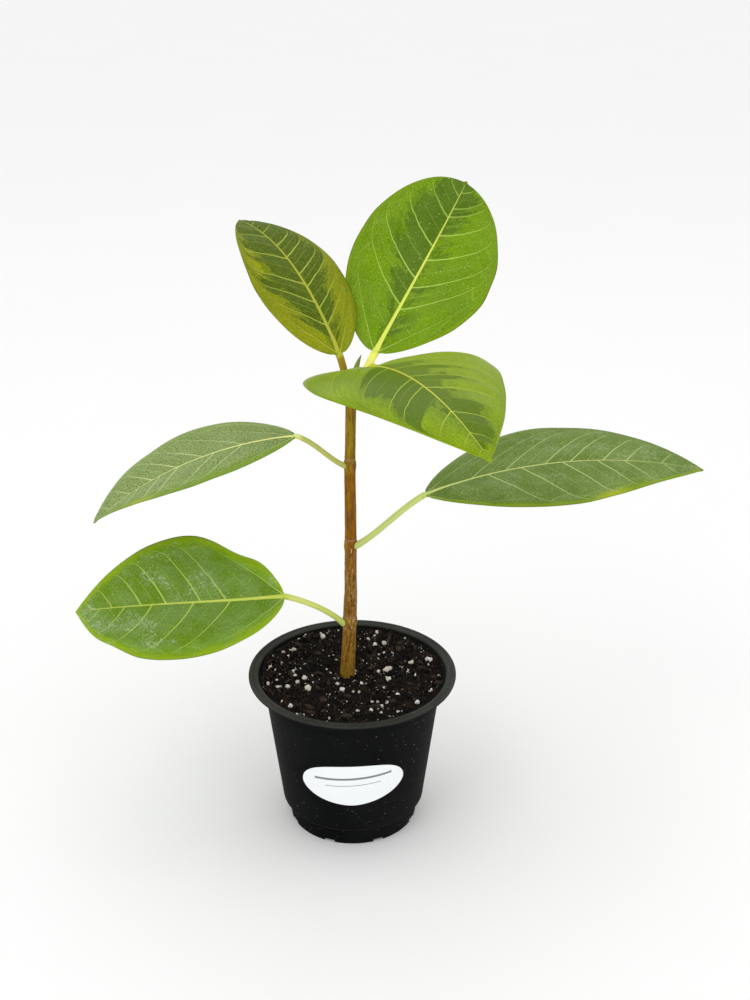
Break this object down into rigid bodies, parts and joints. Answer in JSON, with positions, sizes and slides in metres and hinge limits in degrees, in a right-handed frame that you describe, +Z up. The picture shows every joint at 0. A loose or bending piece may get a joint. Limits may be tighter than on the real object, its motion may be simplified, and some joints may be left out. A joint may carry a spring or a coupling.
{
  "type": "potted rubber plant",
  "caption": "Young variegated rubber plant: a slim woody stem with broad oval leaves on stalks, rooted in peat and perlite in a thin black tapered nursery pot with a rolled rim",
  "frame": {"origin": "middle of the pot's foot, on the surface that the pot stands on", "axes": "+Z up along the pot's axis; -Y is the front, where the label is; +X is to the right seen from the front"},
  "size_m": [0.3208, 0.221, 0.3291],
  "materials": {
    "black_plastic": "satin black thin moulded plastic, a little dusty",
    "label": "smooth white coated sticker, blank",
    "soil": "damp dark peat with brown fibres",
    "bark": "brown bark with light corky streaks, olive near the top",
    "root": "matte pale brown root skin",
    "young_leaf": "smooth satin lime green with darker green patches and pale veins",
    "old_leaf": "dull grey green with a whitish film and a thin pale margin",
    "bud": "satin green pointed sheath",
    "perlite": "rough off-white expanded grain",
    "bark_chip": "rough dark composted bark"
  },
  "bodies": {
    "root": {"bark_chip_1": "bark_chip", "bark_chip_2": "bark_chip", "bark_chip_3": "bark_chip", "bark_chip_4": "bark_chip", "bark_chip_5": "bark_chip", "bark_chip_6": "bark_chip", "label": "label", "leaf_lower_left": "young_leaf", "leaf_middle_left": "old_leaf", "leaf_middle_right": "old_leaf", "leaf_top_front": "young_leaf", "leaf_top_left": "young_leaf", "leaf_top_right": "young_leaf", "perlite_01": "perlite", "perlite_02": "perlite", "perlite_03": "perlite", "perlite_04": "perlite", "perlite_05": "perlite", "perlite_06": "perlite", "perlite_07": "perlite", "perlite_08": "perlite", "perlite_09": "perlite", "perlite_10": "perlite", "perlite_11": "perlite", "perlite_12": "perlite", "perlite_13": "perlite", "perlite_14": "perlite", "perlite_15": "perlite", "perlite_16": "perlite", "perlite_17": "perlite", "perlite_18": "perlite", "perlite_19": "perlite", "perlite_20": "perlite", "perlite_21": "perlite", "perlite_22": "perlite", "perlite_23": "perlite", "perlite_24": "perlite", "perlite_25": "perlite", "perlite_26": "perlite", "perlite_27": "perlite", "perlite_28": "perlite", "perlite_29": "perlite", "perlite_30": "perlite", "perlite_31": "perlite", "pot": "black_plastic", "roots": "root", "soil": "soil", "stem": "bark", "terminal_bud": "bud"}
  },
  "joints": []
}
